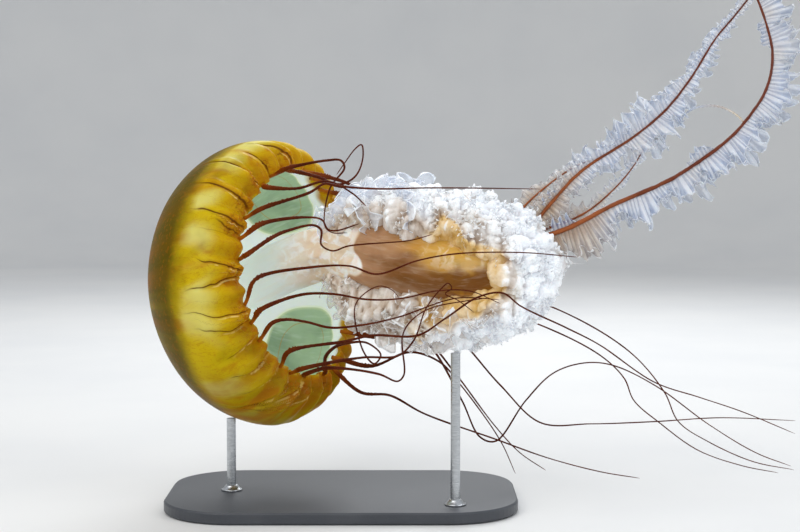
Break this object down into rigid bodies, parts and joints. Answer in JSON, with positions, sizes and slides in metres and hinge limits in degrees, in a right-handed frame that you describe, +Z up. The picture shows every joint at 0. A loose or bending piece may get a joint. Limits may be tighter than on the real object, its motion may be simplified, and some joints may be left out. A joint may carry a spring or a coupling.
{
  "type": "sea nettle jellyfish",
  "caption": "Life-size sea nettle jellyfish with a domed gold bell, frilled mouth arms and thread-like tentacles, held on a low display stand.",
  "frame": {"origin": "middle of the underside of the stand's plate, on the surface that it rests on", "axes": "+Z up; +X from the bell towards the trailing arms, against the way the animal swims; -Y the side that the bell's mouth is turned towards"},
  "size_m": [0.572, 0.267, 0.5483],
  "materials": {
    "bell_jelly": "gloss",
    "stalk_jelly": "gloss",
    "arm_frill": "satin",
    "trailing_frill": "satin",
    "tentacle_skin": "satin",
    "stand_paint": "satin",
    "stand_steel": "satin"
  },
  "bodies": {
    "root": {"bell": "bell_jelly", "mouth_stalk": "stalk_jelly", "arm_1_upper": "arm_frill", "arm_1_lower": "arm_frill", "arm_2_upper": "arm_frill", "arm_2_lower": "arm_frill", "arm_3_upper": "arm_frill", "arm_3_lower": "arm_frill", "arm_4_upper": "arm_frill", "arm_4_lower": "arm_frill", "arm_1_trail_1": "trailing_frill", "arm_1_trail_2": "trailing_frill", "arm_1_trail_3": "trailing_frill", "arm_2_trail_1": "trailing_frill", "arm_2_trail_2": "trailing_frill", "arm_2_trail_3": "trailing_frill", "tentacle_01_a": "tentacle_skin", "tentacle_02_a": "tentacle_skin", "tentacle_02_b": "tentacle_skin", "tentacle_03_a": "tentacle_skin", "tentacle_04_a": "tentacle_skin", "tentacle_04_b": "tentacle_skin", "tentacle_05_a": "tentacle_skin", "tentacle_06_a": "tentacle_skin", "tentacle_06_b": "tentacle_skin", "tentacle_07_a": "tentacle_skin", "tentacle_07_b": "tentacle_skin", "tentacle_08_a": "tentacle_skin", "tentacle_08_b": "tentacle_skin", "tentacle_09_a": "tentacle_skin", "tentacle_09_b": "tentacle_skin", "tentacle_10_a": "tentacle_skin", "tentacle_10_b": "tentacle_skin", "tentacle_10_c": "tentacle_skin", "tentacle_11_a": "tentacle_skin", "tentacle_11_b": "tentacle_skin", "tentacle_12_a": "tentacle_skin", "tentacle_12_b": "tentacle_skin", "tentacle_13_a": "tentacle_skin", "tentacle_13_b": "tentacle_skin", "tentacle_14_a": "tentacle_skin", "tentacle_14_b": "tentacle_skin", "tentacle_15_a": "tentacle_skin", "tentacle_15_b": "tentacle_skin", "tentacle_16_a": "tentacle_skin", "tentacle_17_a": "tentacle_skin", "tentacle_17_b": "tentacle_skin", "tentacle_18_a": "tentacle_skin", "tentacle_18_b": "tentacle_skin", "tentacle_19_a": "tentacle_skin", "tentacle_19_b": "tentacle_skin", "tentacle_20_a": "tentacle_skin", "tentacle_20_b": "tentacle_skin", "tentacle_21_a": "tentacle_skin", "tentacle_22_a": "tentacle_skin", "tentacle_23_a": "tentacle_skin", "tentacle_24_a": "tentacle_skin", "stand_plate": "stand_paint", "stand_rod_bell": "stand_steel", "stand_rod_arms": "stand_steel"}
  },
  "joints": []
}
